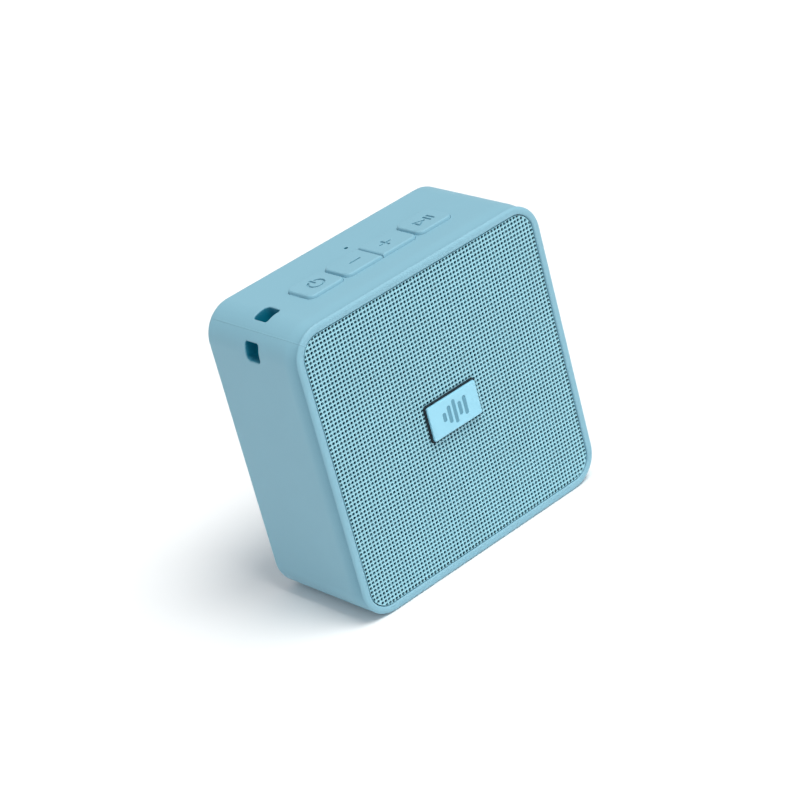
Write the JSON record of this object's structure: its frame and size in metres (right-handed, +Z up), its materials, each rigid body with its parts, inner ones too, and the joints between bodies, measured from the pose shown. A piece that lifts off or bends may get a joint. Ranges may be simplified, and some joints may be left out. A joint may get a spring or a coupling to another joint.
{
  "type": "portable bluetooth speaker",
  "caption": "Small square portable speaker with a soft skin, perforated front grille, press keys on top, a lanyard tunnel and a hinged port cover.",
  "frame": {"origin": "centre of the flat base face", "axes": "+Z up, the grille faces -Y, +X to the right of someone looking at the grille"},
  "size_m": [0.085, 0.0394, 0.0859],
  "materials": {
    "skin_rubber": "soft matte, light blue",
    "grille_paint": "satin light blue, perforated",
    "badge_paint": "satin pale blue",
    "bright_steel": "zinc plated",
    "black_cloth": "fine black acoustic cloth",
    "black_foam": "closed cell foam",
    "key_rubber": "soft matte, light blue",
    "white_plastic": "natural acetal",
    "circuit_board": "green solder mask",
    "black_plastic": "moulded black",
    "brass_metal": "gold plated",
    "flex_film": "amber film",
    "tub_plastic": "fine moulded grain",
    "driver_steel": "black coated pressed steel",
    "surround_rubber": "smooth black",
    "paper_pulp": "coated paper",
    "copper_wire": "enamelled copper",
    "spider_cloth": "resin dipped cloth",
    "magnet_ferrite": "grey ferrite",
    "phenolic": "brown laminate",
    "wire_sleeve": "pvc",
    "capacitor_can": "sleeved aluminium",
    "connector_nylon": "nylon",
    "cell_wrap": "shrink film",
    "nickel_strip": "nickel"
  },
  "bodies": {
    "enclosure": {"outer_sleeve": "skin_rubber", "front_grille": "grille_paint", "badge": "badge_paint", "badge_pad": "black_foam", "badge_clips": "bright_steel", "grille_scrim": "black_cloth", "grille_foam": "black_foam", "button_board": "circuit_board", "tact_switches": "black_plastic", "microphone": "brass_metal", "microphone_boot": "black_foam", "button_board_screws": "bright_steel", "button_cable": "flex_film", "chassis_tub": "tub_plastic", "front_baffle": "tub_plastic", "baffle_seal": "black_foam", "baffle_screws": "bright_steel", "driver_frame": "driver_steel", "driver_gasket": "black_foam", "driver_screws": "bright_steel", "surround": "surround_rubber", "spider": "spider_cloth", "top_plate": "bright_steel", "magnet": "magnet_ferrite", "yoke": "bright_steel", "terminal_strip": "phenolic", "speaker_leads": "wire_sleeve", "main_board": "circuit_board", "radio_module": "bright_steel", "amplifier_chip": "black_plastic", "capacitors": "capacitor_can", "inductors": "black_plastic", "board_connectors": "connector_nylon", "usb_socket": "bright_steel", "audio_socket": "black_plastic", "board_screws": "bright_steel", "battery_cell": "cell_wrap", "battery_cradle": "tub_plastic", "battery_tabs": "nickel_strip", "protection_board": "circuit_board", "battery_leads": "wire_sleeve", "battery_foam": "black_foam"},
    "power_key": {"power_key": "key_rubber", "power_plunger": "white_plastic"},
    "volume_down_key": {"volume_down_key": "key_rubber", "volume_down_plunger": "white_plastic"},
    "volume_up_key": {"volume_up_key": "key_rubber", "volume_up_plunger": "white_plastic"},
    "play_key": {"play_key": "key_rubber", "play_plunger": "white_plastic"},
    "port_cover": {"port_cover": "skin_rubber"},
    "cone_assembly": {"cone": "paper_pulp", "dust_cap": "paper_pulp", "voice_coil": "copper_wire"}
  },
  "joints": [
    {"name": "power_key_press", "type": "slide", "parent": "enclosure", "child": "power_key", "axis": [0, 0, -1], "range_m": [0, 0.0004], "stiffness_N_per_m": 2000},
    {"name": "volume_down_key_press", "type": "slide", "parent": "enclosure", "child": "volume_down_key", "axis": [0, 0, -1], "range_m": [0, 0.0004], "stiffness_N_per_m": 2000},
    {"name": "volume_up_key_press", "type": "slide", "parent": "enclosure", "child": "volume_up_key", "axis": [0, 0, -1], "range_m": [0, 0.0004], "stiffness_N_per_m": 2000},
    {"name": "play_key_press", "type": "slide", "parent": "enclosure", "child": "play_key", "axis": [0, 0, -1], "range_m": [0, 0.0004], "stiffness_N_per_m": 2000},
    {"name": "port_cover_hinge", "type": "hinge", "parent": "enclosure", "child": "port_cover", "pos_m": [0.04167, 0.0106, 0.0383], "axis": [0, 1, 0], "range_deg": [0, 100], "stiffness_Nm_per_rad": 0.002},
    {"name": "cone_stroke", "type": "slide", "parent": "enclosure", "child": "cone_assembly", "axis": [0, -1, 0], "range_m": [-0.0015, 0.0015], "stiffness_N_per_m": 1500, "deforming": ["surround", "spider"]}
  ]
}
